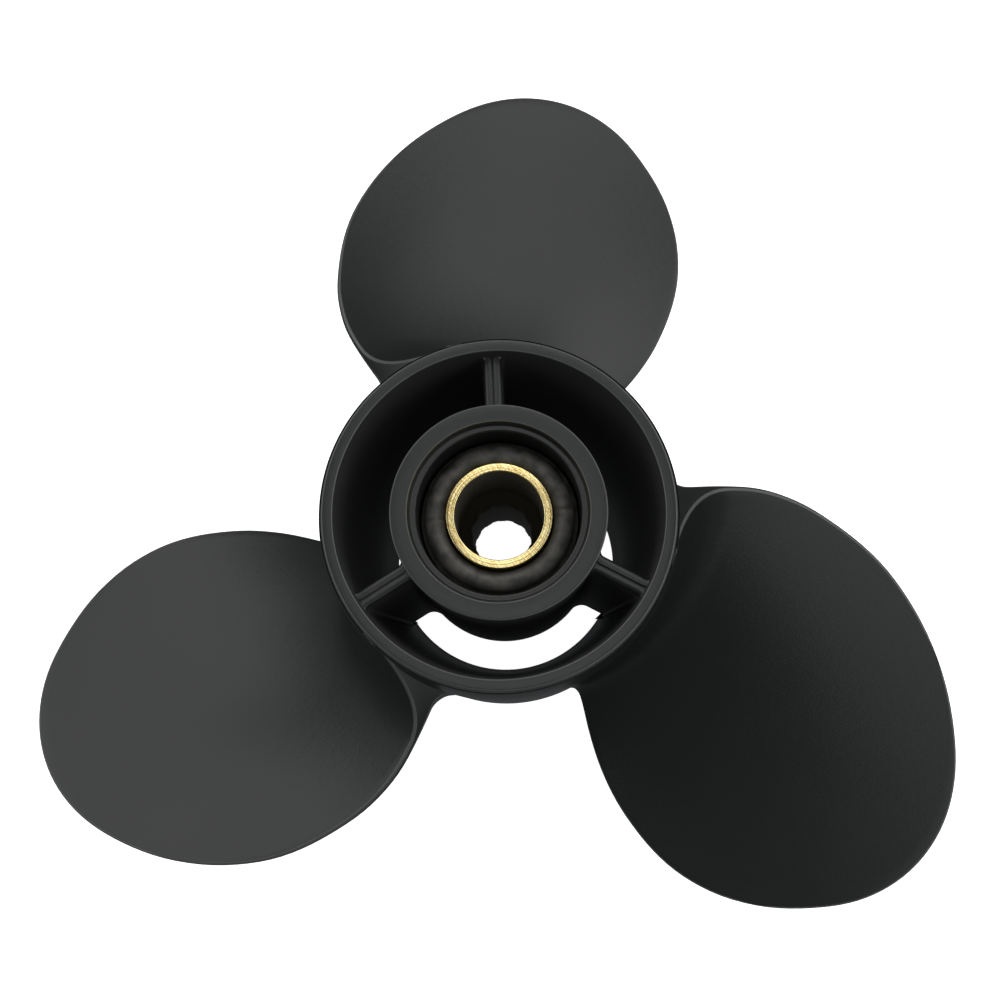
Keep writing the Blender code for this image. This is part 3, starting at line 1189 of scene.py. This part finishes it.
@dataclass(frozen=True)
class BrassSleeve:
    """The brass sleeve: a turned and filed face, a plain aft bore and a splined stretch."""

    brass: TurnedBrass = field(default_factory=TurnedBrass)
    # Near-black coat in the bore, a painted shade
    bore_shade_paint: BoreShadePaint = field(default_factory=BoreShadePaint)
    outer_radius: float = 10.6 * MM
    bore_radius: float = 8.9 * MM
    spline_radius: float = 6.5 * MM
    spline_root_radius: float = 6.7 * MM
    spline_count: int = 12
    # The groove's middle, its width and its flanks' width, as shares of one spline's step
    groove_place: float = 0.625
    groove_share: float = 0.62
    flank_share: float = 0.24
    mouth_radius: float = 9.6 * MM
    aft_depth: float = 5.4 * MM
    spline_aft_depth: float = 30.0 * MM
    spline_forward_depth: float = 50.0 * MM
    forward_depth: float = 63.0 * MM
    lead_in: float = 6.0 * MM
    chamfer: float = 0.25 * MM
    # The bore's brass shows bare only this far in, and deeper it is dark with painted shade
    unshaded_depth: float = 0.6 * MM
    steps_per_spline: int = 16

    def build(self) -> Object:
        """Builds and dresses the sleeve.

        Returns:
            The finished object.
        """
        aft = RIM_Z - self.aft_depth
        forward = RIM_Z - self.forward_depth
        spline_aft = RIM_Z - self.spline_aft_depth
        corners = [
            Corner(self.bore_radius, aft, self.chamfer),
            Corner(self.outer_radius, aft, self.chamfer),
            Corner(self.outer_radius, forward, self.chamfer),
            Corner(self.mouth_radius, forward),
            Corner(self.spline_radius, RIM_Z - self.spline_forward_depth),
            Corner(self.spline_radius, spline_aft),
            Corner(self.bore_radius, spline_aft + self.lead_in),
        ]
        shape = turned(corners, self.spline_count * self.steps_per_spline)
        self.cut_splines(shape)
        for piece in shape.faces:
            middle = piece.calc_center_median()
            in_bore = from_shaft(middle) < self.bore_radius + TOLERANCE
            # Brass is the sleeve's first material, and the painted shade in its bore the second
            piece.material_index = int(in_bore and middle.z < aft - self.unshaded_depth)
        sleeve = make_object("turned_sleeve", shape)
        for finish in (self.brass, self.bore_shade_paint):
            sleeve.data.materials.append(finish.make())
        shade_round(sleeve)
        stand_for(sleeve, SLEEVE_NODE)
        return sleeve

    def cut_splines(self, shape: BMesh) -> None:
        """Moves the bore's narrow stretch out to the spline's root between its teeth.

        Args:
            shape: The sleeve's shape.
        """
        for vert in shape.verts:
            radius = from_shaft(vert.co)
            if radius > self.spline_radius + TOLERANCE:
                continue
            turn = math.atan2(vert.co.y, vert.co.x) / math.tau * self.spline_count
            away = abs(turn - math.floor(turn) - self.groove_place) * 2
            away = min(away, 2 - away)
            out = min(max((self.groove_share - away) / self.flank_share, 0.0), 1.0)
            reach = self.spline_radius + (self.spline_root_radius - self.spline_radius) * out
            vert.co.x *= reach / radius
            vert.co.y *= reach / radius


@dataclass(frozen=True)
class Softbox:
    """One square area light.

    Attributes:
        name: The light's name.
        place: Where it stands.
        size: Length of its side.
        power: Its power in watts.
    """

    name: str
    place: tuple[float, float, float]
    size: float
    power: float

    def build(self) -> None:
        """Builds the light, facing the propeller."""
        data = bpy.data.lights.new(self.name, "AREA")
        data.shape = "SQUARE"
        data.size = self.size
        data.energy = self.power
        light = link_new(self.name, data)
        light.location = self.place
        light.rotation_mode = "QUATERNION"
        light.rotation_quaternion = (-Vector(self.place)).to_track_quat("-Z", "Y")


@dataclass(frozen=True)
class Studio:
    """Pale table, soft lights and the camera at the photograph's angle."""

    table: WhiteTable = field(default_factory=WhiteTable)
    table_size: float = 8.0
    table_steps: int = 8
    world_colour: str = "dfe3e6"
    world_strength: float = 0.18
    lights: tuple[Softbox, ...] = (
        Softbox("overhead_softbox", (0.0, -0.05, 1.2), 0.5, 1.4),
        Softbox("back_overhead_softbox", (0.0, 0.8, 0.95), 0.8, 3.8),
        Softbox("right_softbox", (1.05, 0.0, 0.62), 0.8, 3.6),
        Softbox("back_right_softbox", (0.74, 0.74, 0.62), 0.8, 2.6),
        Softbox("left_softbox", (-1.05, 0.0, 0.62), 0.8, 2.9),
        Softbox("back_left_softbox", (-0.74, 0.74, 0.62), 0.8, 2.8),
        Softbox("front_right_softbox", (0.74, -0.74, 0.62), 0.8, 1.5),
    )
    camera_place: tuple[float, float, float] = (6.36 * MM, -38.43 * MM, RIM_Z + 210.95 * MM)
    camera_target: tuple[float, float, float] = (0.27 * MM, 2.02 * MM, RIM_Z)
    camera_roll_deg: float = -1.2
    focal_length: float = 40.05
    sensor_width: float = 36.0
    clip_start: float = 10.0 * MM

    def build(self) -> None:
        """Builds the table, the lights, the world and the camera."""
        self.build_table()
        for light in self.lights:
            light.build()
        self.build_world()
        self.build_camera()

    def build_table(self) -> None:
        """Builds the table that the propeller stands on."""
        shape = bmesh.new()
        bmesh.ops.create_grid(
            shape, x_segments=self.table_steps, y_segments=self.table_steps, size=self.table_size / 2
        )
        bmesh.ops.translate(shape, verts=shape.verts, vec=(0.0, 0.0, FORWARD_Z))
        table = make_object("white_table", shape)
        table.data.materials.append(self.table.make())
        table.visible_diffuse = False
        table.visible_glossy = False

    def build_world(self) -> None:
        """Sets an even pale surround."""
        world = bpy.data.worlds.new("pale_room")
        world.use_nodes = True
        background = world.node_tree.nodes["Background"]
        background.inputs["Color"].default_value = linear(self.world_colour)
        background.inputs["Strength"].default_value = self.world_strength
        bpy.context.scene.world = world

    def build_camera(self) -> None:
        """Places the camera where the photograph was taken from."""
        data = bpy.data.cameras.new("photo_camera")
        data.lens = self.focal_length
        data.sensor_width = self.sensor_width
        data.clip_start = self.clip_start
        camera = link_new("photo_camera", data)
        back = (Vector(self.camera_place) - Vector(self.camera_target)).normalized()
        roll = math.radians(self.camera_roll_deg)
        up = Vector((math.sin(roll), math.cos(roll), 0.0))
        right = up.cross(back).normalized()
        axes = Matrix((right, back.cross(right), back)).transposed()
        camera.matrix_world = Matrix.Translation(self.camera_place) @ axes.to_4x4()
        bpy.context.scene.camera = camera


def main() -> None:
    """Builds the propeller's three pieces and the studio round them."""
    logging.basicConfig(level=logging.INFO, format="%(name)s: %(message)s")
    for part in (PropellerCasting(), RubberBushing(), BrassSleeve()):
        piece = part.build()
        LOG.info("%s: %d faces", piece.name, len(piece.data.polygons))
    Studio().build()
    bpy.context.scene.view_settings.view_transform = "Standard"


if __name__ == "__main__":
    main()
